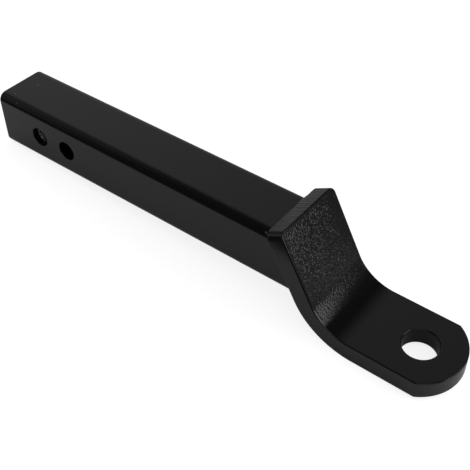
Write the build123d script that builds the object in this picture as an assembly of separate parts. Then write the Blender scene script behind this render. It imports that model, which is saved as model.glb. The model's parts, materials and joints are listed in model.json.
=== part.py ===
from build123d import *

import os
from math import cos, radians, sin, tan

# A drop ball mount for a square tow-bar receiver. A square tube slides into the receiver
# and is held there by a pin. A bent flat bar, welded across the tube's mitred front end,
# carries the ball platform below the tube.
#
# The origin is the centre of the hitch pin hole, on the tube's axis. +X runs along the
# tube towards the ball, +Z is up, and the two side walls face -Y and +Y. Lengths are in
# millimetres.

# Shank tube: structural square tube, sawn square at the receiver end.
shank_side = 50.0
shank_wall = 5.0
shank_corner_r = 7.0
shank_length = 303.0        # along the axis, from the open end to the back of the plate
end_break = 0.8             # saw burr taken off the open end
seam_width = 3.0            # flash of the tube's own seam, left along the lower wall
seam_height = 0.8
seam_trim = 3.0             # ground back from the open end

# Cross holes, drilled through both side walls.
pin_to_end = 77.5           # hitch pin hole to the open end
pin_hole_d = 17.0           # clears a 5/8 in hitch pin
pin_to_thread = 32.0        # hitch pin hole to the anti-rattle hole behind it
hole_break = 0.4            # broken edge of each cross hole

# Anti-rattle nut: an M16 hexagon nut, welded inside the -Y wall behind the second hole.
nut_sides = 6
nut_across_flats = 24.0
nut_height = 13.0
nut_corner_break = 1.2      # radial depth of the chamfer across its corners
thread_minor_d = 13.84      # bore left by an M16 x 2 thread
thread_major_d = 16.0
nut_weld_leg = 3.0
nut_weld_length = 7.5
nut_weld_swell = 1.8        # from the seam to the middle of its face, along each leg

# Tongue plate: one flat bar, bent once.
plate_width = 66.0
plate_t = 15.0
plate_tilt = 28.0           # the sloping part, from the vertical
plate_rise = 12.5           # its front top edge above the tube's top face
drop = 60.8                 # tube's top face down to the platform's top face
bend_inner_r = 36.5         # round the hollow of the bend
bend_outer_r = 58.0         # more than the inner radius and the bar, which thins there
top_corner_r = 6.0          # the two upper corners of the sloping part
plate_edge_r = 1.0          # rolled edges of the bar

# Ball platform, at the plate's lower end.
bend_to_ball = 62.0         # from where the two top faces would meet
ball_hole_d = 27.5
ball_hole_break = 1.0
ball_to_end = 33.5
end_arc_r = 38.0            # more than half the width, so the arc meets the sides in corners
end_corner_r = 2.5

# Fillet weld, all round the tube where it meets the back of the plate.
weld_leg = 5.5
weld_root = 0.4             # how deep its thin end starts under the tube's surface
weld_run_on = 3.0           # its section carried on past the joint, then cut to the plate

# Places worked out from the sizes above.
tilt = radians(plate_tilt)
half_side = shank_side / 2
half_width = plate_width / 2
inner_side = shank_side - 2 * shank_wall
inner_corner_r = shank_corner_r - shank_wall
open_end_x = -pin_to_end
thread_x = -pin_to_thread
joint_x = shank_length - pin_to_end          # back of the plate on the tube's axis
platform_z = half_side - drop
underside_z = platform_z - plate_t
plate_top_z = half_side + plate_rise
beyond = shank_side + plate_width            # takes a cutting tool right through
near = 0.01                                  # tolerance for finding an edge by its place


def back_x(z):
    """Where the back of the sloping part stands at height z."""
    return joint_x - z * tan(tilt)


def front_x(z):
    """Where the front of the sloping part stands at height z."""
    return back_x(z) + plate_t / cos(tilt)


bend_x = front_x(platform_z)
ball_x = bend_x + bend_to_ball
end_x = ball_x + ball_to_end


def section_plane(x):
    """A plane across the tube: its x is the object's y, and it faces the ball."""
    return Plane(origin=(x, 0, 0), x_dir=(0, 1, 0), z_dir=(1, 0, 0))


def mitre_plane(x):
    """A plane along the plate's back where it crosses the tube's axis at x."""
    return Plane(origin=(x, 0, 0), x_dir=(0, 1, 0), z_dir=(cos(tilt), 0, sin(tilt)))


def rounded_bar(side, corner_r, length):
    """A square bar along +X from the open end."""
    return extrude(section_plane(open_end_x) * RectangleRounded(side, side, corner_r), length)


def round_bar(plane, diameter, length):
    """A drill or a pin that stands on a plane."""
    return extrude(plane * Circle(diameter / 2), length)


def rim(part, radius, centre):
    """The circular edges of one radius about one centre."""
    return part.edges().filter_by(
        lambda edge: edge.geom_type == GeomType.CIRCLE
        and abs(edge.radius - radius) < near
        and (edge.arc_center - Vector(*centre)).length < near
    )


def vertex_at(face, x, z):
    """The corner of a side profile nearest to one place."""
    return face.vertices().sort_by_distance((x, 0, z))[0]


def plate_space():
    """All that lies in front of the plate's back, round the bend too."""
    outline = Polyline(
        (back_x(beyond), beyond),
        (back_x(underside_z), underside_z),
        (end_x + beyond, underside_z),
        (end_x + beyond, beyond),
        close=True,
    )
    face = make_face(Plane.XZ * outline)
    face = fillet(vertex_at(face, back_x(underside_z), underside_z), bend_outer_r)
    return extrude(face, beyond, both=True)


def make_shank_tube():
    """The tube, with its open end, seam flash, mitred end and cross holes."""
    reach = shank_length + beyond
    tube = rounded_bar(shank_side, shank_corner_r, reach)
    tube -= rounded_bar(inner_side, inner_corner_r, reach)
    tube = chamfer(tube.faces().sort_by(Axis.X)[0].edges(), end_break)

    flash_plane = section_plane(open_end_x + seam_trim) * Pos(0, -inner_side / 2)
    tube += extrude(flash_plane * Ellipse(seam_width / 2, seam_height), reach - seam_trim)

    tube -= plate_space()
    for x in (0, thread_x):
        drill_plane = Plane(origin=(x, -beyond, 0), z_dir=(0, 1, 0))
        tube -= round_bar(drill_plane, pin_hole_d, 2 * beyond)
        for wall_y in (-half_side, half_side):
            tube = chamfer(rim(tube, pin_hole_d / 2, (x, wall_y, 0)), hole_break)
    return tube


def plate_outline():
    """The plate from above: parallel sides, then an arc with two corners just broken."""
    arc_x = end_x - end_arc_r
    behind = Pos(arc_x - beyond) * Rectangle(2 * beyond, plate_width)
    ahead = Pos(arc_x) * (Circle(end_arc_r) & Rectangle(2 * end_arc_r, plate_width))
    outline = (behind + ahead).face()
    corners = outline.vertices().filter_by(lambda v: v.X > arc_x and abs(v.Y) < half_width + near)
    return fillet(corners, end_corner_r)


def make_tongue_plate():
    """The bar: bent profile, rounded upper corners, arched end, rolled edges, ball hole."""
    top_x = front_x(plate_top_z)
    profile = make_face(
        Plane.XZ
        * Polyline(
            (top_x, plate_top_z),
            (top_x - plate_t * cos(tilt), plate_top_z - plate_t * sin(tilt)),
            (back_x(underside_z), underside_z),
            (end_x, underside_z),
            (end_x, platform_z),
            (bend_x, platform_z),
            close=True,
        )
    )
    profile = fillet(vertex_at(profile, back_x(underside_z), underside_z), bend_outer_r)
    profile = fillet(vertex_at(profile, bend_x, platform_z), bend_inner_r)
    plate = extrude(profile, half_width, both=True)
    plate &= extrude(Plane(origin=(0, 0, -beyond)) * plate_outline(), 2 * beyond)

    across = Vector(cos(tilt), 0, sin(tilt))
    corners = plate.edges().filter_by(GeomType.LINE).filter_by(
        lambda edge: abs(abs(edge.tangent_at(0).dot(across)) - 1) < near
    )
    plate = fillet(corners, top_corner_r)

    # Every edge round the two broad faces, leaving the tangent lines at the bend and the
    # short ones through the bar's thickness.
    rolled = plate.edges().filter_by(
        lambda edge: not edge.is_interior and abs(edge.length - plate_t) > near
    )
    plate = fillet(rolled, plate_edge_r)

    ball_plane = Plane(origin=(ball_x, 0, -beyond))
    plate -= round_bar(ball_plane, ball_hole_d, 2 * beyond)
    for z in (platform_z, underside_z):
        plate = fillet(rim(plate, ball_hole_d / 2, (ball_x, 0, z)), ball_hole_break)
    return plate


def make_joint_weld():
    """The fillet weld: a frustum along the tube, cut back to the tube and the plate."""

    def outline(x, spread):
        across, up = shank_side + 2 * spread, shank_side / cos(tilt) + 2 * spread
        return mitre_plane(x) * RectangleRounded(across, up, shank_corner_r + spread)

    steepness = (weld_leg + weld_root) / weld_leg
    thin_end = outline(joint_x - weld_leg, -weld_root)
    thick_end = outline(joint_x + weld_run_on, weld_leg + weld_run_on * steepness)
    bead = loft([thin_end.face(), thick_end.face()], ruled=True)
    bead -= rounded_bar(shank_side, shank_corner_r, shank_length + beyond)
    return bead - plate_space()


def make_anti_rattle_nut():
    """The hexagon nut, flats towards the open end, with its thread's core bored out."""
    seat = Plane(origin=(thread_x, -inner_side / 2, 0), x_dir=(1, 0, 0), z_dir=(0, 1, 0))
    flat_r = nut_across_flats / 2
    half_turn = 180 / nut_sides                 # from a flat's middle to a corner
    corner_r = flat_r / cos(radians(half_turn))
    hexagon = RegularPolygon(flat_r, nut_sides, major_radius=False)
    nut = extrude(seat * Rot(Z=half_turn) * hexagon, nut_height)
    turned = round_bar(seat, 2 * corner_r, nut_height)
    turned = chamfer(turned.edges().filter_by(GeomType.CIRCLE), nut_corner_break / 2, nut_corner_break)
    nut &= turned
    nut -= round_bar(seat, thread_minor_d, nut_height)
    mouths = nut.edges().filter_by(
        lambda e: e.geom_type == GeomType.CIRCLE and abs(e.radius - thread_minor_d / 2) < near
    )
    return chamfer(mouths, (thread_major_d - thread_minor_d) / 2)


def make_nut_weld():
    """A short fillet along the nut's flat that faces the open end, where a torch can reach."""
    wall_y = -inner_side / 2
    flat_x = thread_x - nut_across_flats / 2
    section = make_face(
        Polyline(
            (flat_x - nut_weld_leg, wall_y),
            (flat_x, wall_y),
            (flat_x, wall_y + nut_weld_leg),
        )
        + ThreePointArc(
            (flat_x, wall_y + nut_weld_leg),
            (flat_x - nut_weld_swell, wall_y + nut_weld_swell),
            (flat_x - nut_weld_leg, wall_y),
        )
    )
    return extrude(section, nut_weld_length / 2, both=True)


pieces = {
    "shank_tube": make_shank_tube(),
    "tongue_plate": make_tongue_plate(),
    "joint_weld": make_joint_weld(),
    "anti_rattle_nut": make_anti_rattle_nut(),
    "nut_weld": make_nut_weld(),
}

os.makedirs("parts", exist_ok=True)
for name, piece in pieces.items():
    export_step(piece, f"parts/{name}.step")
    print(name, round(piece.volume / 1000, 2), "cm3")
print("ball hole at x", round(ball_x, 2), "end at x", round(end_x, 2))
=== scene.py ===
# %% [markdown]
# A drop ball mount carries a tow ball behind and below a tow-bar receiver. It is a square
# tube, a bent flat bar welded across the tube's end, and a nut hidden inside the tube.
# All of it was welded first and then covered in black powder coat, apart from the nut's
# thread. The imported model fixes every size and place, so it is loaded first, and each
# piece below is modelled again over its node, with the finer edges that a camera sees.

# %% Load the frame
import json
import math

import bmesh
import bpy
from mathutils import Matrix, Vector
from mathutils.noise import noise as noise_at


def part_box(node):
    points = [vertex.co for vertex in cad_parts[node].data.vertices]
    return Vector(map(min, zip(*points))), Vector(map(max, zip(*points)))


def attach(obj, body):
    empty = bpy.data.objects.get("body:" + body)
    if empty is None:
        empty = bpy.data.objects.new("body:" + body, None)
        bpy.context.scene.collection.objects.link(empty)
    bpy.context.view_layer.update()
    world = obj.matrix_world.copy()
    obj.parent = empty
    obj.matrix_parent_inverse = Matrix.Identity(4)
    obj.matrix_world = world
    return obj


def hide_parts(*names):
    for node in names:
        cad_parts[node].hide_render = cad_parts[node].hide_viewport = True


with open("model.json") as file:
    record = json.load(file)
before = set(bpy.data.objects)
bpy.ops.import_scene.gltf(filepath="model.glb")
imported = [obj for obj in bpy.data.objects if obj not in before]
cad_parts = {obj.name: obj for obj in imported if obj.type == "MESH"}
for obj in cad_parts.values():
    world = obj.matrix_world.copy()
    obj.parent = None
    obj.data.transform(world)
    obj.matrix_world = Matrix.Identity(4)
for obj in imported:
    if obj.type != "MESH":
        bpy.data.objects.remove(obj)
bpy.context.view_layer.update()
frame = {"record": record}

# %% [markdown]
# The sizes come from two places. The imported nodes' boxes and the record's mounts give the
# outside of each piece and the place of each hole. What a box can't tell, such as a wall or
# a bend's radius, is written here once, as on a workshop drawing.

# %% Sizes from the frame and from the drawing
mm = 0.001
tube_low, tube_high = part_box("shank_tube")
nut_low, nut_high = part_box("anti_rattle_nut")
nut_weld_low, nut_weld_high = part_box("nut_weld")
mounts = {mount["name"]: mount for mount in frame["record"]["mounts"]}


def mount_place(name):
    return Vector(mounts[name]["pos_m"])


def mount_radius(name):
    return mounts[name]["dims"]["r_mm"] * mm


side = tube_high.z - tube_low.z
wall = 5 * mm
tube_corner_r = 7 * mm
open_end_x = tube_low.x
tube_axis_length = 303 * mm
plate_tilt = math.radians(28)
plate_rise = 12.5 * mm
bend_inner_r = 36.5 * mm
bend_outer_r = 58 * mm
top_corner_r = 6 * mm
end_arc_r = 38 * mm
end_corner_r = 2.5 * mm
plate_edge_r = 1 * mm

joint_x = open_end_x + tube_axis_length
plate_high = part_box("tongue_plate")[1]
half_width = plate_high.y
end_x = plate_high.x
platform_z = mount_place("ball_seat").z
underside_z = mount_place("ball_nut_seat").z
plate_t = platform_z - underside_z
print(f"bar {2 * half_width / mm:.1f} x {plate_t / mm:.1f} mm, tube {side / mm:.1f} mm square")

# %% [markdown]
# A few helpers carry the routine. One turns a finished bmesh into a piece that rides on the
# only body and stands for its node. Another cuts or joins two meshes with the Boolean
# modifier and keeps the result as plain mesh, as a fitter would drill the real thing.
# Bevels here are always given all their settings, because the operator's own defaults
# differ from the editor's.

# %% Helpers
SHARP = math.radians(30)
MERGE = 0.001 * mm       # vertices closer than this become one
NEAR = 0.02 * mm         # how far off a face or a circle an edge may lie and still be on it
TURN_STEPS = 96          # segments of a full turn


def to_object(name, bm):
    """A scene object with this bmesh as its mesh."""
    bmesh.ops.recalc_face_normals(bm, faces=bm.faces)
    mesh = bpy.data.meshes.new(name)
    bm.to_mesh(mesh)
    bm.free()
    piece = bpy.data.objects.new(name, mesh)
    bpy.context.scene.collection.objects.link(piece)
    return piece


def combine(piece, tool, operation):
    """Cuts, joins or intersects piece with tool, and leaves one plain mesh."""
    boolean = piece.modifiers.new("combine", "BOOLEAN")
    boolean.object = tool
    boolean.operation = operation
    boolean.solver = "EXACT"
    graph = bpy.context.evaluated_depsgraph_get()
    made = bpy.data.meshes.new_from_object(piece.evaluated_get(graph))
    bm = bmesh.new()
    bm.from_mesh(made)
    bmesh.ops.remove_doubles(bm, verts=bm.verts, dist=MERGE)
    bmesh.ops.dissolve_degenerate(bm, edges=bm.edges, dist=MERGE)
    bm.to_mesh(made)
    bm.free()
    piece.modifiers.clear()
    piece.data = made
    bpy.data.objects.remove(tool)


def bevel_edges(bm, edges, width, segments):
    bmesh.ops.bevel(
        bm, geom=edges, offset=width, offset_type="OFFSET", segments=segments,
        profile=0.5, affect="EDGES", clamp_overlap=False, material=-1,
    )


def round_corners(bm, corners, radius, segments):
    """Rounds corners of a flat outline."""
    bmesh.ops.bevel(
        bm, geom=corners, offset=radius, offset_type="OFFSET", segments=segments,
        profile=0.5, affect="VERTICES", clamp_overlap=False, material=-1,
    )


def sharp_edges(bm):
    return [e for e in bm.edges if len(e.link_faces) == 2 and e.calc_face_angle() > SHARP]


def only_verts(geom):
    """The vertices among the things that an operator made."""
    return [v for v in geom if isinstance(v, bmesh.types.BMVert)]


def drill(piece, centre, axis, radius, length, segments=TURN_STEPS):
    """Cuts a round hole along axis through centre."""
    bm = bmesh.new()
    turn = Vector(axis).to_track_quat("Z", "Y").to_matrix().to_4x4()
    bmesh.ops.create_cone(
        bm, cap_ends=True, segments=segments, radius1=radius, radius2=radius,
        depth=length, matrix=Matrix.Translation(centre) @ turn,
    )
    combine(piece, to_object("drill", bm), "DIFFERENCE")


def finish_piece(piece, node, material):
    """Smooth shading with crisp corners, then the piece takes its node's place."""
    piece.data.shade_smooth()
    piece.data.set_sharp_from_angle(angle=SHARP)
    weighted = piece.modifiers.new("flat faces stay flat", "WEIGHTED_NORMAL")
    weighted.keep_sharp = True
    piece.data.materials.clear()
    piece.data.materials.append(material)
    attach(piece, "root")
    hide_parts(node)
    faces = len(piece.data.polygons)
    print(f"{piece.name}: {faces} faces, stands for {node}")


# %% [markdown]
# Powder coat is a baked plastic skin. It is black right through, with a satin gloss, so its
# colour is nearly black and even, and its character is in the bump: one noise for the
# orange peel, a millimetre or two across, and a finer one for the grain of the powder. The
# coat follows the steel below it. A cold-drawn tube leaves it nearly smooth, and the bar,
# which was heated to be bent, makes it grainy. So one recipe makes two coats that differ in
# depth. Four tiny chips show near the tube's ends. The patterns read Object coordinates,
# which are the part's own frame.

# %% Powder coat
COAT_BLACK = (0.0019, 0.0019, 0.002, 1)
ROUGHNESS_SPREAD = 0.03
CHIP_GREY = 0.06
CHIP_SOFTNESS = 3        # a chip is bare within its radius divided by this
PATCH_SIZE = 18 * mm
PEEL_SIZE = 1.5 * mm
GRAIN_SIZE = 0.6 * mm


def add_node(tree, kind, inputs=None, **settings):
    """A shader node, with its settings and the values of its named sockets."""
    node = tree.nodes.new(kind)
    for name, value in settings.items():
        setattr(node, name, value)
    for name, value in (inputs or {}).items():
        node.inputs[name].default_value = value
    return node


def noise(tree, where, size, detail=2.0):
    """Noise whose lumps are about one size across, in metres."""
    node = add_node(tree, "ShaderNodeTexNoise", {"Scale": 1 / size, "Detail": detail})
    tree.links.new(where, node.inputs["Vector"])
    return node.outputs["Fac"]


def bump(tree, height, depth, below=None):
    node = add_node(tree, "ShaderNodeBump", {"Distance": depth})
    tree.links.new(height, node.inputs["Height"])
    if below:
        tree.links.new(below, node.inputs["Normal"])
    return node.outputs["Normal"]


def fade(tree, value, start, end, low=0.0, high=1.0):
    """A smooth change from low, where value is at start, to high, where it is at end."""
    reach = {"From Min": start, "From Max": end, "To Min": low, "To Max": high}
    node = add_node(tree, "ShaderNodeMapRange", reach, interpolation_type="SMOOTHSTEP")
    tree.links.new(value, node.inputs["Value"])
    return node.outputs["Result"]


def calculate(tree, operation, *terms):
    """A Math node over numbers and other nodes' sockets."""
    node = add_node(tree, "ShaderNodeMath", operation=operation)
    for socket, term in zip(node.inputs, terms):
        if isinstance(term, bpy.types.NodeSocket):
            tree.links.new(term, socket)
        else:
            socket.default_value = term
    return node.outputs[0]


def new_material(name):
    """A material with a Principled shader, and Object coordinates to pattern it by."""
    material = bpy.data.materials.new(name)
    material.use_nodes = True
    tree = material.node_tree
    shader = tree.nodes["Principled BSDF"]
    where = add_node(tree, "ShaderNodeTexCoord").outputs["Object"]
    return material, tree, shader, where


def make_powder_coat(name, roughness, peel_depth, grain_depth, chips=()):
    """The coat, with a few chips given as (place, radius)."""
    material, tree, shader, where = new_material(name)
    shader.inputs["Base Color"].default_value = COAT_BLACK
    colour = COAT_BLACK[0]
    for place, radius in chips:
        away = add_node(tree, "ShaderNodeVectorMath", operation="DISTANCE")
        away.inputs[1].default_value = place
        tree.links.new(where, away.inputs[0])
        bare = fade(tree, away.outputs["Value"], radius, radius / CHIP_SOFTNESS, 0, CHIP_GREY)
        colour = calculate(tree, "ADD", colour, bare)
    if chips:
        tree.links.new(colour, shader.inputs["Base Color"])
    peel = bump(tree, noise(tree, where, PEEL_SIZE), peel_depth)
    grain = bump(tree, noise(tree, where, GRAIN_SIZE), grain_depth, peel)
    tree.links.new(grain, shader.inputs["Normal"])
    gloss = fade(
        tree, noise(tree, where, PATCH_SIZE), 0, 1,
        roughness - ROUGHNESS_SPREAD, roughness + ROUGHNESS_SPREAD,
    )
    tree.links.new(gloss, shader.inputs["Roughness"])
    return material


# depth of the peel, depth of the grain
SMOOTH_BUMP = (0.03 * mm, 0.008 * mm)
GRAINY_BUMP = (0.06 * mm, 0.015 * mm)
COAT_ROUGHNESS = 0.14
tube_chips = [
    # place, radius
    (Vector((-60.9, 5.0, 25.0)) * mm, 1.0 * mm),
    (Vector((-66.7, -15.7, 25.0)) * mm, 1.0 * mm),
    (Vector((-57.5, -22.9, 22.9)) * mm, 0.7 * mm),
    (Vector((204.3, -23.7, 22.1)) * mm, 1.1 * mm),
]
smooth_coat = make_powder_coat(
    "powder coat on drawn tube", COAT_ROUGHNESS, *SMOOTH_BUMP, tube_chips,
)
grainy_coat = make_powder_coat("powder coat on the bent bar", COAT_ROUGHNESS, *GRAINY_BUMP)
print("two coats of one black:", smooth_coat.name, "and", grainy_coat.name)

# %% [markdown]
# The shank is structural square tube. Its section is two squares with rounded corners, one
# inside the other. A vertex bevel rounds a flat square's corners, bridging the two outlines
# gives the sawn end, and extruding that along X gives the tube. A plane then mitres the
# front end to the plate's slope.

# %% Shank: section, length and mitre
tube_reach = tube_axis_length + side
tube_corner_steps = 12
mitre_normal = Vector((math.cos(plate_tilt), 0, math.sin(plate_tilt)))


def square_outline(bm, x, size, radius, segments):
    """The edges of a rounded square across the tube at x."""
    made = bmesh.ops.create_grid(bm, x_segments=1, y_segments=1, size=size / 2)
    place = Matrix.Translation((x, 0, 0)) @ Matrix.Rotation(math.pi / 2, 4, "Y")
    bmesh.ops.transform(bm, matrix=place, verts=made["verts"])
    round_corners(bm, made["verts"], radius, segments)


def make_shank():
    bm = bmesh.new()
    square_outline(bm, open_end_x, side, tube_corner_r, tube_corner_steps)
    square_outline(bm, open_end_x, side - 2 * wall, tube_corner_r - wall, tube_corner_steps)
    bmesh.ops.delete(bm, geom=list(bm.faces), context="FACES_ONLY")
    bmesh.ops.bridge_loops(bm, edges=list(bm.edges))
    made = bmesh.ops.extrude_face_region(bm, geom=list(bm.faces))
    bmesh.ops.translate(bm, vec=(tube_reach, 0, 0), verts=only_verts(made["geom"]))
    cut = bmesh.ops.bisect_plane(
        bm, geom=[*bm.verts, *bm.edges, *bm.faces], clear_outer=True,
        plane_co=(joint_x, 0, 0), plane_no=mitre_normal,
    )
    rim = [e for e in cut["geom_cut"] if isinstance(e, bmesh.types.BMEdge)]
    bmesh.ops.bridge_loops(bm, edges=rim)
    return to_object("shank", bm)


shank = make_shank()
print("shank mesh:", len(shank.data.vertices), "vertices before drilling")

# %% Shank: seam flash, cross holes and broken edges
hole_break = 0.4 * mm
end_break = 0.8 * mm
seam_radius = 1.5 * mm
seam_sink = 0.7 * mm
seam_trim = 3 * mm
seam_steps = 20
break_steps = 3
cross_holes = ("hitch_pin_hole", "anti_rattle_near_hole")
across_y = Vector((0, 1, 0))


def make_seam_flash():
    """The ridge that the tube mill leaves inside, as a bar sunk in the lower wall."""
    bm = bmesh.new()
    length = tube_axis_length - side / 2 - seam_trim
    middle = Vector((open_end_x + seam_trim + length / 2, 0, tube_low.z + wall - seam_sink))
    bmesh.ops.create_cone(
        bm, cap_ends=True, segments=seam_steps, radius1=seam_radius, radius2=seam_radius,
        depth=length, matrix=Matrix.Translation(middle) @ Matrix.Rotation(math.pi / 2, 4, "Y"),
    )
    return to_object("seam", bm)


def on_rim(edge, centre, axis, radius):
    """True for an edge that lies on a circle about an axis."""
    across = [v.co - centre for v in edge.verts]
    return all(abs((a - a.dot(axis) * axis).length - radius) < NEAR for a in across)


combine(shank, make_seam_flash(), "UNION")
for name in cross_holes:
    centre = mount_place(name)
    centre.y = 0
    drill(shank, centre, across_y, mount_radius(name), 2 * side)

bm = bmesh.new()
bm.from_mesh(shank.data)
outer_rims = [
    e for e in bm.edges
    if all(abs(abs(v.co.y) - side / 2) < NEAR for v in e.verts)
    and any(on_rim(e, mount_place(n), across_y, mount_radius(n)) for n in cross_holes)
]
bevel_edges(bm, outer_rims, hole_break, break_steps)
sawn = [e for e in sharp_edges(bm) if all(abs(v.co.x - open_end_x) < NEAR for v in e.verts)]
bevel_edges(bm, sawn, end_break, break_steps)
bm.to_mesh(shank.data)
bm.free()
finish_piece(shank, "shank_tube", smooth_coat)

# %% [markdown]
# The tongue is one flat bar, bent once by a press. Its side view is two outlines, each a
# straight, an arc and a straight. A single vertex spun round the bend's centre draws a true
# arc, which a bevel wouldn't at this angle. The face between the outlines is extruded to the
# bar's width. The inside of the bend is tighter than the outside less the thickness, because
# a bar thins where it is bent.

# %% Tongue: side view and width
slope_down = Vector((math.sin(plate_tilt), 0, -math.cos(plate_tilt)))
bend_turn = math.pi / 2 - plate_tilt
top_z = tube_high.z + plate_rise
bend_steps = 32
top_corner_steps = 10
PARALLEL = 0.99          # the least dot product of two lines that count as parallel


def back_x(z):
    return joint_x - z * math.tan(plate_tilt)


def front_x(z):
    return back_x(z) + plate_t / math.cos(plate_tilt)


def bent_line(bm, top, corner, radius):
    """Vertices from top, round the bend under corner, to the bar's end."""
    run = radius * math.tan(bend_turn / 2)
    start = corner - slope_down * run
    centre = start + mitre_normal * radius
    first = bm.verts.new(top)
    second = bm.verts.new(start)
    bm.edges.new((first, second))
    swept = bmesh.ops.spin(
        bm, geom=[second], cent=centre, axis=across_y, angle=-bend_turn, steps=bend_steps,
    )
    last = only_verts(swept["geom_last"])[0]
    end = bm.verts.new((end_x + plate_t, corner.y, corner.z))
    bm.edges.new((last, end))
    return first, end


def make_tongue():
    bm = bmesh.new()
    y = -half_width
    front_top = Vector((front_x(top_z), y, top_z))
    back_top = front_top - mitre_normal * plate_t
    front_corner = Vector((front_x(platform_z), y, platform_z))
    back_corner = Vector((back_x(underside_z), y, underside_z))
    front = bent_line(bm, front_top, front_corner, bend_inner_r)
    back = bent_line(bm, back_top, back_corner, bend_outer_r)
    bm.edges.new((front[0], back[0]))
    bm.edges.new((front[1], back[1]))
    profile = bmesh.ops.contextual_create(bm, geom=list(bm.edges))["faces"]
    made = bmesh.ops.extrude_face_region(bm, geom=profile)
    bmesh.ops.translate(bm, vec=(0, 2 * half_width, 0), verts=only_verts(made["geom"]))
    upper = [
        e for e in bm.edges
        if e.verts[0].co.z > tube_high.z and e.verts[1].co.z > tube_high.z
        and abs((e.verts[1].co - e.verts[0].co).normalized().dot(mitre_normal)) > PARALLEL
    ]
    bevel_edges(bm, upper, top_corner_r, top_corner_steps)
    return to_object("tongue", bm)


tongue = make_tongue()
print("tongue mesh:", len(tongue.data.vertices), "vertices before trimming")

# %% [markdown]
# The bar's end is trimmed to an arc that is flatter than a half circle, so it meets the
# sides in two corners. The trimming tool is that outline seen from above, made by spinning
# one vertex about the arc's centre. The ball hole is drilled after that, and then every
# sharp edge that is left is rolled with one small bevel, as on rolled bar.

# %% Tongue: arched end, ball hole and rolled edges
arc_centre = Vector((end_x - end_arc_r, 0, 0))
half_sweep = math.asin(half_width / end_arc_r)
ball_hole_break = 1 * mm
rim_zone = 3 * ball_hole_break   # edges this near the ball hole are already broken
arc_steps = 56
end_corner_steps = 4
ball_hole_steps = 128
roll_steps = 4


def make_arched_outline():
    """A prism with the tongue's plan: straight sides and an arched end."""
    bm = bmesh.new()
    low, high = underside_z - side, tube_high.z + side
    corner = arc_centre + Vector((math.cos(half_sweep), -math.sin(half_sweep), 0)) * end_arc_r
    start = bm.verts.new((corner.x, corner.y, low))
    swept = bmesh.ops.spin(
        bm, geom=[start], cent=(arc_centre.x, 0, low), axis=(0, 0, 1),
        angle=2 * half_sweep, steps=arc_steps,
    )
    stop = only_verts(swept["geom_last"])[0]
    behind = [bm.verts.new((0, y, low)) for y in (-half_width, half_width)]
    for pair in ((start, behind[0]), (behind[0], behind[1]), (behind[1], stop)):
        bm.edges.new(pair)
    corner_run = end_corner_r * math.tan(math.pi / 4 - half_sweep / 2)
    round_corners(bm, [start, stop], corner_run, end_corner_steps)
    plan = bmesh.ops.contextual_create(bm, geom=list(bm.edges))["faces"]
    made = bmesh.ops.extrude_face_region(bm, geom=plan)
    bmesh.ops.translate(bm, vec=(0, 0, high - low), verts=only_verts(made["geom"]))
    return to_object("outline", bm)


combine(tongue, make_arched_outline(), "INTERSECT")
ball_centre = mount_place("ball_hole")
ball_hole_r = mount_radius("ball_hole")
drill(tongue, ball_centre, (0, 0, 1), ball_hole_r, side, ball_hole_steps)

bm = bmesh.new()
bm.from_mesh(tongue.data)
upright = Vector((0, 0, 1))
rims = [e for e in sharp_edges(bm) if on_rim(e, ball_centre, upright, ball_hole_r)]
bevel_edges(bm, rims, ball_hole_break, roll_steps)
edges = [
    e for e in sharp_edges(bm)
    if not any((v.co - ball_centre).xy.length < ball_hole_r + rim_zone for v in e.verts)
]
bevel_edges(bm, edges, plate_edge_r, roll_steps)
bm.to_mesh(tongue.data)
bm.free()
print("tongue mesh:", len(tongue.data.polygons), "faces after rolling its edges")

# %% [markdown]
# The bar's upper end was sawn, and the coat is too thin to hide the marks. They are shallow
# furrows that run through the thickness, about two millimetres apart and never quite the
# same. A grid with a wavy height, thickened upwards, is the negative of such a face, so
# cutting it away leaves the furrows as real geometry.

# %% Tongue: saw marks on the cut end
saw_pitch = 2.2 * mm
saw_depth = 0.22 * mm
saw_slant = 0.12
saw_wander_size = 7 * mm         # how soon the spacing of the furrows changes
saw_patch_size = 3 * mm          # how soon their depth changes
saw_evenness = (0.7, 0.6)        # their mean depth, and how much it varies
saw_rows = 420
saw_overhang = 1.1
WANDER_ROW, DEPTH_ROW = 3.0, 5.0  # rows of the noise, so that no two effects match
TOOL_HEIGHT = 2 * mm
cut_middle = Vector((front_x(top_z), 0, top_z)) - mitre_normal * plate_t / 2
cut_frame = Matrix((mitre_normal, across_y, -slope_down)).transposed().to_4x4()


def saw_height(along, through):
    """How high the tool's face lies over the sawn face, which is below zero in a furrow."""
    wander = noise_at((along / saw_wander_size, 0, WANDER_ROW))
    wave = math.cos(2 * math.pi * ((along + saw_slant * through) / saw_pitch + wander))
    mean, change = saw_evenness
    uneven = mean + change * noise_at((along / saw_patch_size, DEPTH_ROW, 0))
    return -saw_depth * uneven * (0.5 + 0.5 * wave)


def make_saw_tool():
    bm = bmesh.new()
    bmesh.ops.create_grid(bm, x_segments=2, y_segments=saw_rows, size=1)
    bmesh.ops.scale(bm, vec=(plate_t, half_width * saw_overhang, 1), verts=bm.verts)
    for v in bm.verts:
        v.co.z = saw_height(v.co.y, v.co.x)
    made = bmesh.ops.extrude_face_region(bm, geom=list(bm.faces))
    for v in only_verts(made["geom"]):
        v.co.z = TOOL_HEIGHT
    bmesh.ops.transform(bm, matrix=Matrix.Translation(cut_middle) @ cut_frame, verts=bm.verts)
    return to_object("saw", bm)


combine(tongue, make_saw_tool(), "DIFFERENCE")
print("tongue mesh:", len(tongue.data.polygons), "faces with saw marks")

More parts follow.
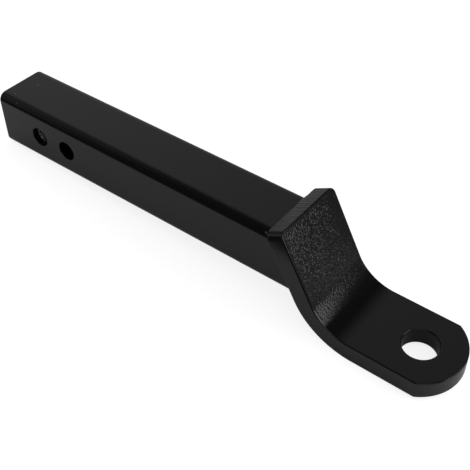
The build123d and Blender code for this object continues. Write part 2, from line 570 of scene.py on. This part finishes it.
# %% [markdown]
# The bar was hot when it was bent, and its scaled skin is rough from the top of the slope
# down into the bend. A random grain, about a millimetre across, stands for the scale. It is
# real geometry, because a bump this coarse would only look dull. It is made like the saw
# marks, with a sheet whose underside is the negative of the grain. The sheet is first made
# flat, then it is bent to follow the bar's front. The grain is deepest on the upper part of
# the slope and shallower along the far edge and in the bend. It fades out at its borders,
# where the sheet rises clear of the steel.

# %% Tongue: grain on the slope and in the bend
grain_cell = 0.42 * mm
grain_size = 1.1 * mm
grain_depth = 0.2 * mm
grain_sink = 0.6
grain_border = 1.3 * mm
grain_fade = 2 * mm
grain_end_fade = 10 * mm         # the slower fade at the lower end, in the bend
grain_clear = 0.05 * mm          # how far the sheet rises over the smooth steel
GRAIN_ROW = 1.0
grain_across = (-half_width + grain_border, half_width - grain_border)
weak_share = 0.5
deep_across = (29 * mm, 15 * mm)
deep_down = (72 * mm, 54 * mm)
straight_run = (top_z - platform_z) / math.cos(plate_tilt) - bend_inner_r * math.tan(bend_turn / 2)
grained_turn = math.radians(32)
grain_down = (grain_border, straight_run + bend_inner_r * grained_turn)


def ease(value, start, end):
    """0 at start and beyond it, 1 at end and beyond it, with a smooth change between."""
    share = min(max((value - start) / (end - start), 0), 1)
    return share * share * (3 - 2 * share)


def grain_rise(across, down):
    """Height of the sheet's underside over the smooth bar."""
    deep = ease(across, *deep_across) * ease(down, *deep_down)
    depth = grain_depth * (weak_share + (1 - weak_share) * deep)
    inside = min(
        ease(across, grain_across[0], grain_across[0] + grain_fade),
        ease(across, grain_across[1], grain_across[1] - grain_fade),
        ease(down, grain_down[0], grain_down[0] + grain_fade),
        ease(down, grain_down[1], grain_down[1] - grain_end_fade),
    )
    lumps = noise_at((across / grain_size, down / grain_size, GRAIN_ROW))
    return depth * inside * (lumps - grain_sink) + grain_clear * (1 - inside)


def bend_to_front(place):
    """A point given as (across, down, rise), moved to the front of the bent bar."""
    across, down, rise = place
    turned = max(down - straight_run, 0) / bend_inner_r
    lean = plate_tilt + turned
    outward = Vector((math.cos(lean), 0, math.sin(lean)))
    foot = Vector((front_x(top_z), 0, top_z)) + slope_down * min(down, straight_run)
    foot += (mitre_normal - outward) * bend_inner_r
    return foot + across_y * across + outward * rise


def make_grain_tool():
    bm = bmesh.new()
    across_span = grain_across[1] - grain_across[0]
    down_span = grain_down[1] - grain_down[0]
    bmesh.ops.create_grid(
        bm, x_segments=round(across_span / grain_cell), y_segments=round(down_span / grain_cell),
        size=0.5,
    )
    for v in bm.verts:
        across = grain_across[0] + (v.co.x + 0.5) * across_span
        down = grain_down[0] + (v.co.y + 0.5) * down_span
        v.co = (across, down, grain_rise(across, down))
    made = bmesh.ops.extrude_face_region(bm, geom=list(bm.faces))
    for v in only_verts(made["geom"]):
        v.co.z = TOOL_HEIGHT
    for v in bm.verts:
        v.co = bend_to_front(v.co)
    return to_object("grain", bm)


combine(tongue, make_grain_tool(), "DIFFERENCE")
print("tongue mesh:", len(tongue.data.polygons), "faces with grain")
finish_piece(tongue, "tongue_plate", grainy_coat)

# %% [markdown]
# The joint's fillet weld runs all round the tube at the back of the bar. A hand-laid bead is
# a chain of frozen puddles, each lapping the one before, so its crown is rippled and its
# edges wander. Here the bead is a stack of rounded-square lines, from its edge on the tube,
# over the crown, to its edge on the bar. Every line has the same number of points, sheared
# to the bar's slope and rippled, so neighbours are joined point by point. The last two
# lines close the bead inside the steel.

# %% Joint weld: its lines and ripples
weld_leg = 5 * mm
weld_crown = 0.25 * mm
weld_sink = 0.3 * mm
weld_wander = 0.25 * mm
weld_wander_size = 6 * mm
weld_root = plate_t / 5          # how deep in the bar the bead is closed
ripple_pitch = 2.1 * mm
ripple_height = 0.25 * mm
ripple_bow = 0.45                # how far a puddle's edges trail, in pitches
puddle_stride = 1.7              # step in the noise from one puddle to the next
EDGE_ROW = 7.0                   # row of the noise for the bead's wandering edges
crown_lines = 12
weld_corner_steps = 40
weld_side_cuts = 130
flat_half = side / 2 - tube_corner_r


def round_the_joint(y, z):
    """Length along the bead, from the middle of a corner, for a point beside it."""
    core_y = max(-flat_half, min(flat_half, y))
    core_z = max(-flat_half, min(flat_half, z))
    turned = math.atan2(z - core_z, y - core_y) % (2 * math.pi)
    quarter = int(turned / (math.pi / 2))
    run = (core_z, -core_y, -core_z, core_y)[quarter] + flat_half + 2 * flat_half * quarter
    return run + (tube_corner_r + weld_leg / 2) * turned


def bead_swell(run, t):
    """How far a bead stands out at a run along it and a share t across it."""
    bowed = run / ripple_pitch + ripple_bow * (2 * t - 1) ** 2
    puddle = math.floor(bowed)
    lap = 1 - (bowed - puddle)
    uneven = 1 + 0.5 * noise_at((puddle * puddle_stride, 0.5, 0))
    return ripple_height * uneven * lap ** 2 * math.sqrt(math.sin(math.pi * t))


def tube_outline():
    """The tube's outline about the X axis, with points close enough to carry ripples."""
    bm = bmesh.new()
    square_outline(bm, 0, side, tube_corner_r, weld_corner_steps)
    bmesh.ops.delete(bm, geom=list(bm.faces), context="FACES_ONLY")
    straight = [e for e in bm.edges if e.calc_length() > flat_half]
    bmesh.ops.subdivide_edges(bm, edges=straight, cuts=weld_side_cuts)
    mesh = bpy.data.meshes.new("tube outline")
    bm.to_mesh(mesh)
    bm.free()
    return mesh


def weld_line(bm, outline, reach, spread, t):
    """One closed line of the bead, reach behind the bar and spread out from the tube."""
    line = []
    on_crown = t < 1
    for vertex in outline.vertices:
        place = vertex.co.copy()
        core_y = max(-flat_half, min(flat_half, place.y))
        core_z = max(-flat_half, min(flat_half, place.z))
        outward = (place - Vector((0, core_y, core_z))).normalized()
        run = round_the_joint(place.y, place.z)
        swell = wander = 0
        if on_crown:
            swell = bead_swell(run, t)
            wander = weld_wander * noise_at((run / weld_wander_size, 2 * t, EDGE_ROW))
        place += outward * (spread + swell)
        place.x = back_x(place.z) - reach - swell - wander
        line.append(bm.verts.new(place))
    return line


def make_joint_weld():
    bm = bmesh.new()
    outline = tube_outline()
    lines = []
    for step in range(crown_lines + 1):
        t = step / crown_lines
        belly = weld_crown * 4 * t * (1 - t)
        sunk_toe = weld_sink if step == 0 else 0
        spread = weld_leg * t + belly - sunk_toe
        lines.append(weld_line(bm, outline, weld_leg * (1 - t) + belly, spread, t))
    for spread in (weld_leg, -weld_sink):
        lines.append(weld_line(bm, outline, -weld_root, spread, 1))
    for line, following in zip(lines, lines[1:] + lines[:1]):
        for edge in outline.edges:
            here, there = edge.vertices
            bm.faces.new((line[here], line[there], following[there], following[here]))
    return to_object("joint_bead", bm)


joint_bead = make_joint_weld()
finish_piece(joint_bead, "joint_weld", smooth_coat)

# %% [markdown]
# The nut is welded inside before coating, so little coat reaches its thread, which stays
# bare steel with black dust on its first turns. A real thread is one groove wound round the
# bore. Spinning a line of one pitch with a small step along the axis winds exactly that.
# Cut flat at both ends and closed, it is a tap, and taking it out of the nut cuts the
# thread.

# %% Nut steel
BARE_STEEL = (0.37, 0.365, 0.36, 1)
BARE_ROUGHNESS = 0.38
dusty_depth = 5 * mm
dust_size = 1.2 * mm
DUST_RAMP = ((0.45, COAT_BLACK), (0.9, BARE_STEEL))


def make_nut_steel():
    material, tree, shader, where = new_material("nut steel dusted with black")
    shader.inputs["Metallic"].default_value = 1.0
    shader.inputs["Roughness"].default_value = BARE_ROUGHNESS
    depth = add_node(tree, "ShaderNodeSeparateXYZ")
    tree.links.new(where, depth.inputs[0])
    inward = add_node(
        tree, "ShaderNodeMapRange",
        {"From Min": nut_low.y, "From Max": nut_low.y + dusty_depth},
    )
    tree.links.new(depth.outputs["Y"], inward.inputs["Value"])
    speckle = calculate(tree, "ADD", inward.outputs["Result"], noise(tree, where, dust_size))
    dust = add_node(tree, "ShaderNodeValToRGB")
    for element, (position, colour) in zip(dust.color_ramp.elements, DUST_RAMP):
        element.position = position
        element.color = colour
    tree.links.new(speckle, dust.inputs["Fac"])
    tree.links.new(dust.outputs["Color"], shader.inputs["Base Color"])
    return material


nut_steel = make_nut_steel()

# %% Nut: hexagon, chamfers and thread
nut_centre = (nut_low + nut_high) / 2
nut_height = nut_high.y - nut_low.y
nut_flat_r = (nut_high.x - nut_low.x) / 2
nut_half_turn = math.radians(30)     # from the middle of a flat to a corner
nut_corner_r = nut_flat_r / math.cos(nut_half_turn)
nut_chamfer = 0.6 * mm
mouth_clear = 0.05 * mm              # how much wider than the thread its mouths are
mouth_reach = 1 * mm                 # how far their tool runs past the nut
thread_minor_r = mount_radius("anti_rattle_thread")
thread_major_r = 8 * mm
thread_pitch = 2 * mm
thread_steps = 48
thread_merge = 0.005 * mm
tap_lead = 3 * thread_pitch          # how far outside the nut the tap starts
tap_spare_turns = 5
tap_overhang = 0.5 * mm
tap_core_gap = 0.2 * mm              # the tap's core stays this clear of the bore


def turned_piece(bm, profile, centre):
    """Spins a line of (radius, distance along) points about the Y axis through centre."""
    points = [bm.verts.new(centre + Vector((radius, along, 0))) for radius, along in profile]
    edges = [bm.edges.new(pair) for pair in zip(points, points[1:])]
    bmesh.ops.spin(
        bm, geom=points + edges, cent=centre, axis=across_y, angle=2 * math.pi,
        steps=TURN_STEPS, use_merge=True,
    )
    bmesh.ops.remove_doubles(bm, verts=bm.verts, dist=MERGE)


def make_tap():
    """A solid with the form of the thread's hollow, cut flat at both ends.

    A metric thread is flat over a quarter of its pitch at the bore and an eighth outside.
    The flanks are drawn on into the bore, so that no face of the tap lies on the bore's.
    """
    bm = bmesh.new()
    root, crest = thread_pitch / 4, thread_pitch / 8
    flank = (thread_pitch - root - crest) / 2
    core_r = thread_minor_r - tap_core_gap
    sunk = flank * tap_core_gap / (thread_major_r - thread_minor_r)
    line = [
        (core_r, sunk), (core_r, root - sunk), (thread_major_r, root + flank),
        (thread_major_r, root + flank + crest), (core_r, thread_pitch + sunk),
    ]
    start = nut_low.y - tap_lead
    points = [
        bm.verts.new((nut_centre.x + radius, start + along, nut_centre.z)) for radius, along in line
    ]
    edges = [bm.edges.new(pair) for pair in zip(points, points[1:])]
    turns = math.ceil(nut_height / thread_pitch) + tap_spare_turns
    bmesh.ops.spin(
        bm, geom=points + edges, cent=nut_centre, axis=across_y,
        dvec=across_y * thread_pitch / thread_steps,
        angle=2 * math.pi * turns, steps=thread_steps * turns,
    )
    bmesh.ops.remove_doubles(bm, verts=bm.verts, dist=thread_merge)
    for y, outward in ((nut_low.y - tap_overhang, -1), (nut_high.y + tap_overhang, 1)):
        bmesh.ops.bisect_plane(
            bm, geom=[*bm.verts, *bm.edges, *bm.faces], clear_outer=True,
            plane_co=(0, y, 0), plane_no=(0, outward, 0),
        )
    bmesh.ops.holes_fill(bm, edges=[e for e in bm.edges if e.is_boundary])
    return to_object("tap", bm)


def make_nut():
    bm = bmesh.new()
    upright_hexagon = (
        Matrix.Translation(nut_centre) @ Matrix.Rotation(math.pi / 2, 4, "X")
        @ Matrix.Rotation(nut_half_turn, 4, "Z")
    )
    bmesh.ops.create_cone(
        bm, cap_ends=True, segments=6, radius1=nut_corner_r, radius2=nut_corner_r,
        depth=nut_height, matrix=upright_hexagon,
    )
    nut = to_object("anti_rattle_nut_threaded", bm)
    half = nut_height / 2
    bm = bmesh.new()
    turned_piece(bm, [
        (0, -half), (nut_flat_r, -half), (nut_corner_r, nut_chamfer - half),
        (nut_corner_r, half - nut_chamfer), (nut_flat_r, half), (0, half),
    ], nut_centre)
    combine(nut, to_object("turning", bm), "INTERSECT")
    bm = bmesh.new()
    mouth = thread_major_r + mouth_clear
    deep = mouth - thread_minor_r
    turned_piece(bm, [
        (0, -half - mouth_reach), (mouth + mouth_reach, -half - mouth_reach),
        (mouth - deep, -half + deep), (mouth - deep, half - deep),
        (mouth + mouth_reach, half + mouth_reach), (0, half + mouth_reach),
    ], nut_centre)
    combine(nut, to_object("mouths", bm), "DIFFERENCE")
    combine(nut, make_tap(), "DIFFERENCE")
    return nut


nut = make_nut()
finish_piece(nut, "anti_rattle_nut", nut_steel)

# %% [markdown]
# One short bead holds the nut, on its flat towards the open end, where a torch can reach.
# It is a sphere drawn out along the seam, with a few even ripples.

# %% Nut weld
nut_bead_steps = (48, 64)
nut_ripple_pitch = 1.1 * mm
nut_ripple_share = 0.12


def make_nut_weld():
    bm = bmesh.new()
    size = Vector((nut_weld_high.x - nut_weld_low.x, nut_weld_high.y - nut_weld_low.y,
                   (nut_weld_high.z - nut_weld_low.z) / 2))
    seam = Vector((nut_weld_high.x, nut_weld_low.y, nut_centre.z))
    around, along = nut_bead_steps
    bmesh.ops.create_uvsphere(bm, u_segments=around, v_segments=along, radius=1)
    for v in bm.verts:
        run = v.co.z * size.z
        wave = math.sin(2 * math.pi * run / nut_ripple_pitch)
        ripple = 1 + nut_ripple_share * wave * v.co.xy.length
        v.co = seam + Vector((v.co.x * size.x * ripple, v.co.y * size.y * ripple, run))
    return to_object("nut_bead", bm)


nut_bead = make_nut_weld()
finish_piece(nut_bead, "nut_weld", nut_steel)

# %% [markdown]
# The floor carries the mount as it comes to rest, on the lower edge of its open end and on
# the outside of the bend, so the floor is turned by the few degrees between those two. Its
# slope is found from the vertices themselves.

# %% Floor
contact = Vector((open_end_x + end_break, 0, tube_low.z))
floor_half = 6.0                 # metres


def resting_slope():
    points = [v.co for v in tongue.data.vertices if v.co.z < tube_low.z]
    return max(math.atan2(contact.z - p.z, p.x - contact.x) for p in points)


slope = resting_slope()
floor_mesh = bmesh.new()
bmesh.ops.create_grid(floor_mesh, x_segments=1, y_segments=1, size=floor_half)
lean = Matrix.Translation(contact) @ Matrix.Rotation(slope, 4, "Y")
bmesh.ops.transform(floor_mesh, matrix=lean, verts=floor_mesh.verts)
floor = to_object("floor", floor_mesh)
print(f"the mount rests at {math.degrees(slope):.2f} degrees")

# %% [markdown]
# A black thing shows its shape almost only by what it mirrors, so the surroundings matter
# more than the colour. The floor is a sheet of pale grey card. The camera sees it glow to
# white, with a faint shadow left under the mount. Everything else sees the card by the light
# that falls on it, and by a pool of light painted into its colour: lit grey near the mount,
# painted shade of a dark room a little in front of it, and painted dimming a long way off.
# The front edge of that painted pool draws the dark band with a sharp lower edge along the
# tube's rounded corner.

# %% Floor: a pale grey card with a painted pool of light
# Painted light: the card's colour is a pool of light, lit grey near the mount, painted shade of a
# dark room in front of it, and dimmer far off.
LIT_CARD_GREY = 0.45
STUDIO_SHADE_GREY = 0.06
FAR_LIGHT_SHARE = 0.4
light_pool_front = (-84 * mm, -94 * mm)
light_pool_reach = (450 * mm, 750 * mm)
CAMERA_GLOW = 0.8
CAMERA_PAINT = (0.3, 0.3, 0.3, 1)


def mix_shaders(tree, factor, first, second):
    node = add_node(tree, "ShaderNodeMixShader")
    for socket, source in zip(node.inputs, (factor, first, second)):
        tree.links.new(source, socket)
    return node.outputs[0]


def make_floor_material():
    material = bpy.data.materials.new("pale card with painted light pool")
    material.use_nodes = True
    tree = material.node_tree
    tree.nodes.clear()
    where = add_node(tree, "ShaderNodeTexCoord").outputs["Object"]
    place = add_node(tree, "ShaderNodeSeparateXYZ")
    tree.links.new(where, place.inputs[0])
    away = add_node(tree, "ShaderNodeVectorMath", operation="LENGTH")
    tree.links.new(where, away.inputs[0])
    card = add_node(tree, "ShaderNodeBsdfDiffuse")
    # Painted light pool: lit grey near the mount, fading to painted shade in front and to a dimmer
    # share far off.
    lit_front = fade(tree, place.outputs["Y"], *light_pool_front, LIT_CARD_GREY, STUDIO_SHADE_GREY)
    lit_near = fade(tree, away.outputs["Value"], *light_pool_reach, 1, FAR_LIGHT_SHARE)
    painted_pool_grey = calculate(tree, "MULTIPLY", lit_front, lit_near)
    tree.links.new(painted_pool_grey, card.inputs["Color"])
    paint = add_node(tree, "ShaderNodeBsdfDiffuse", {"Color": CAMERA_PAINT})
    glow = add_node(tree, "ShaderNodeEmission", {"Strength": CAMERA_GLOW})
    lit = add_node(tree, "ShaderNodeAddShader")
    tree.links.new(paint.outputs[0], lit.inputs[0])
    tree.links.new(glow.outputs[0], lit.inputs[1])
    is_camera = add_node(tree, "ShaderNodeLightPath").outputs["Is Camera Ray"]
    seen = mix_shaders(tree, is_camera, card.outputs[0], lit.outputs[0])
    output = add_node(tree, "ShaderNodeOutputMaterial")
    tree.links.new(seen, output.inputs["Surface"])
    return material


floor.data.materials.append(make_floor_material())

# %% [markdown]
# The room is the world, and it shows a different side to each kind of ray. The camera sees
# white. Diffuse rays see one even light, a little under the strength at which a colour
# renders as it is written. Glossy rays, which are the mirror image in the coat, see a dark
# room with a wide soft lamp behind and to the left, a low pale wall under it, a bright lamp
# behind the camera, and some weaker ones that lift single edges. Cycles can also pick the
# world as a lamp, and such a ray is of neither kind, so that sampling is off.

# %% Room
PLAIN_LIGHT = 0.9
ROOM_DARK = 0.047
WALL_LIGHT = 0.14
WALL_TOP = 0.7
WALL_START = (-0.1, 0.3)
LAMPS = [
    # degrees round from X, degrees up, spread in degrees, brightness
    (141, 32, 55, 0.33),
    (100, 52, 20, 0.08),
    (-158, 37, 22, 0.18),
    (-45, 42, 42, 0.9),
    (-152, 12, 26, 0.32),
    (-78, 5, 32, 0.45),
]


def lamp_light(tree, toward, turn, rise, spread, brightness):
    """A round soft lamp, brightest in its middle and gone at its spread."""
    turn, rise = math.radians(turn), math.radians(rise)
    axis = (
        math.cos(rise) * math.cos(turn), math.cos(rise) * math.sin(turn), math.sin(rise),
    )
    closeness = add_node(tree, "ShaderNodeVectorMath", operation="DOT_PRODUCT")
    closeness.inputs[1].default_value = axis
    tree.links.new(toward, closeness.inputs[0])
    edge = math.cos(math.radians(spread))
    inside = calculate(tree, "SUBTRACT", closeness.outputs["Value"], edge)
    share = calculate(tree, "MAXIMUM", calculate(tree, "DIVIDE", inside, 1 - edge), 0)
    return calculate(tree, "MULTIPLY", calculate(tree, "POWER", share, 2), brightness)


def room_light(tree):
    """How bright the room looks in the direction of a glossy ray."""
    toward = add_node(tree, "ShaderNodeTexCoord").outputs["Generated"]
    part = add_node(tree, "ShaderNodeSeparateXYZ")
    tree.links.new(toward, part.inputs[0])
    low = fade(tree, part.outputs["Z"], WALL_TOP, 0, 0, WALL_LIGHT)
    behind = fade(tree, part.outputs["Y"], *WALL_START)
    light = calculate(tree, "ADD", calculate(tree, "MULTIPLY", low, behind), ROOM_DARK)
    for lamp in LAMPS:
        light = calculate(tree, "ADD", light, lamp_light(tree, toward, *lamp))
    return light


def make_world():
    world = bpy.data.worlds.new("studio")
    bpy.context.scene.world = world
    world.use_nodes = True
    tree = world.node_tree
    tree.nodes.clear()
    plain = add_node(tree, "ShaderNodeBackground", {"Color": (1, 1, 1, 1), "Strength": PLAIN_LIGHT})
    white = add_node(tree, "ShaderNodeBackground", {"Color": (1, 1, 1, 1), "Strength": 1.0})
    room = add_node(tree, "ShaderNodeBackground", {"Color": (1, 1, 1, 1)})
    tree.links.new(room_light(tree), room.inputs["Strength"])
    path = add_node(tree, "ShaderNodeLightPath")
    unseen = mix_shaders(tree, path.outputs["Is Glossy Ray"], plain.outputs[0], room.outputs[0])
    seen = mix_shaders(tree, path.outputs["Is Camera Ray"], unseen, white.outputs[0])
    output = add_node(tree, "ShaderNodeOutputWorld")
    tree.links.new(seen, output.inputs["Surface"])
    world.cycles.sampling_method = "NONE"


make_world()

# %% [markdown]
# One soft box stands close on the right. The grains of the slope and the left part of the
# bend mirror it, and because it is close, its edge falls across the bend from left to
# right. It is an area light that the camera doesn't see.

# %% Soft box
box_distance = 370 * mm
box_turn = math.radians(22)
box_rise = math.radians(19)
box_width = 233 * mm
box_height = 224 * mm
box_shift = (-25 * mm, 31 * mm)
box_roll = math.radians(-8)
BOX_BRIGHTNESS = 1.95


def make_soft_box():
    data = bpy.data.lights.new("soft box", "AREA")
    data.shape = "RECTANGLE"
    data.size = box_width
    data.size_y = box_height
    data.energy = BOX_BRIGHTNESS * math.pi * box_width * box_height
    light = bpy.data.objects.new("soft box", data)
    bpy.context.scene.collection.objects.link(light)
    away = Vector((
        math.cos(box_rise) * math.cos(box_turn), math.cos(box_rise) * math.sin(box_turn),
        math.sin(box_rise),
    ))
    target = Vector((front_x(platform_z), 0, platform_z / 2))
    facing = away.to_track_quat("Z", "Y").to_matrix().to_4x4()
    sideways = Matrix.Translation((*box_shift, 0)) @ Matrix.Rotation(box_roll, 4, "Z")
    light.matrix_world = Matrix.Translation(target + away * box_distance) @ facing @ sideways
    light.visible_camera = False
    return light


soft_box = make_soft_box()
print("soft box", round(soft_box.data.energy, 3), "W at", soft_box.matrix_world.translation)

# %% [markdown]
# The camera stands where the photograph was taken from, a good half metre off, and looks
# down on the mount from beyond the ball, on the nut's side. Its place and turn were found by
# matching the edges of the part with those in the photograph.

# %% Camera
FRAME_PIXELS = 470
FOCAL_PIXELS = 857.5
camera_place = Vector((0.46126, -0.3846, 0.43588))
camera_right = Vector((0.79012, 0.61289, -0.00914))
camera_down = Vector((0.41448, -0.54522, -0.72866))

camera_data = bpy.data.cameras.new("camera")
camera = bpy.data.objects.new("camera", camera_data)
bpy.context.scene.collection.objects.link(camera)
bpy.context.scene.camera = camera
turn = Matrix((camera_right, -camera_down, camera_right.cross(-camera_down))).transposed()
camera.matrix_world = Matrix.Translation(camera_place) @ turn.to_4x4()
camera_data.lens = FOCAL_PIXELS * camera_data.sensor_width / FRAME_PIXELS
camera_data.clip_start = 0.01
bpy.context.scene.view_settings.view_transform = "Standard"
print(f"lens {camera_data.lens:.1f} mm")
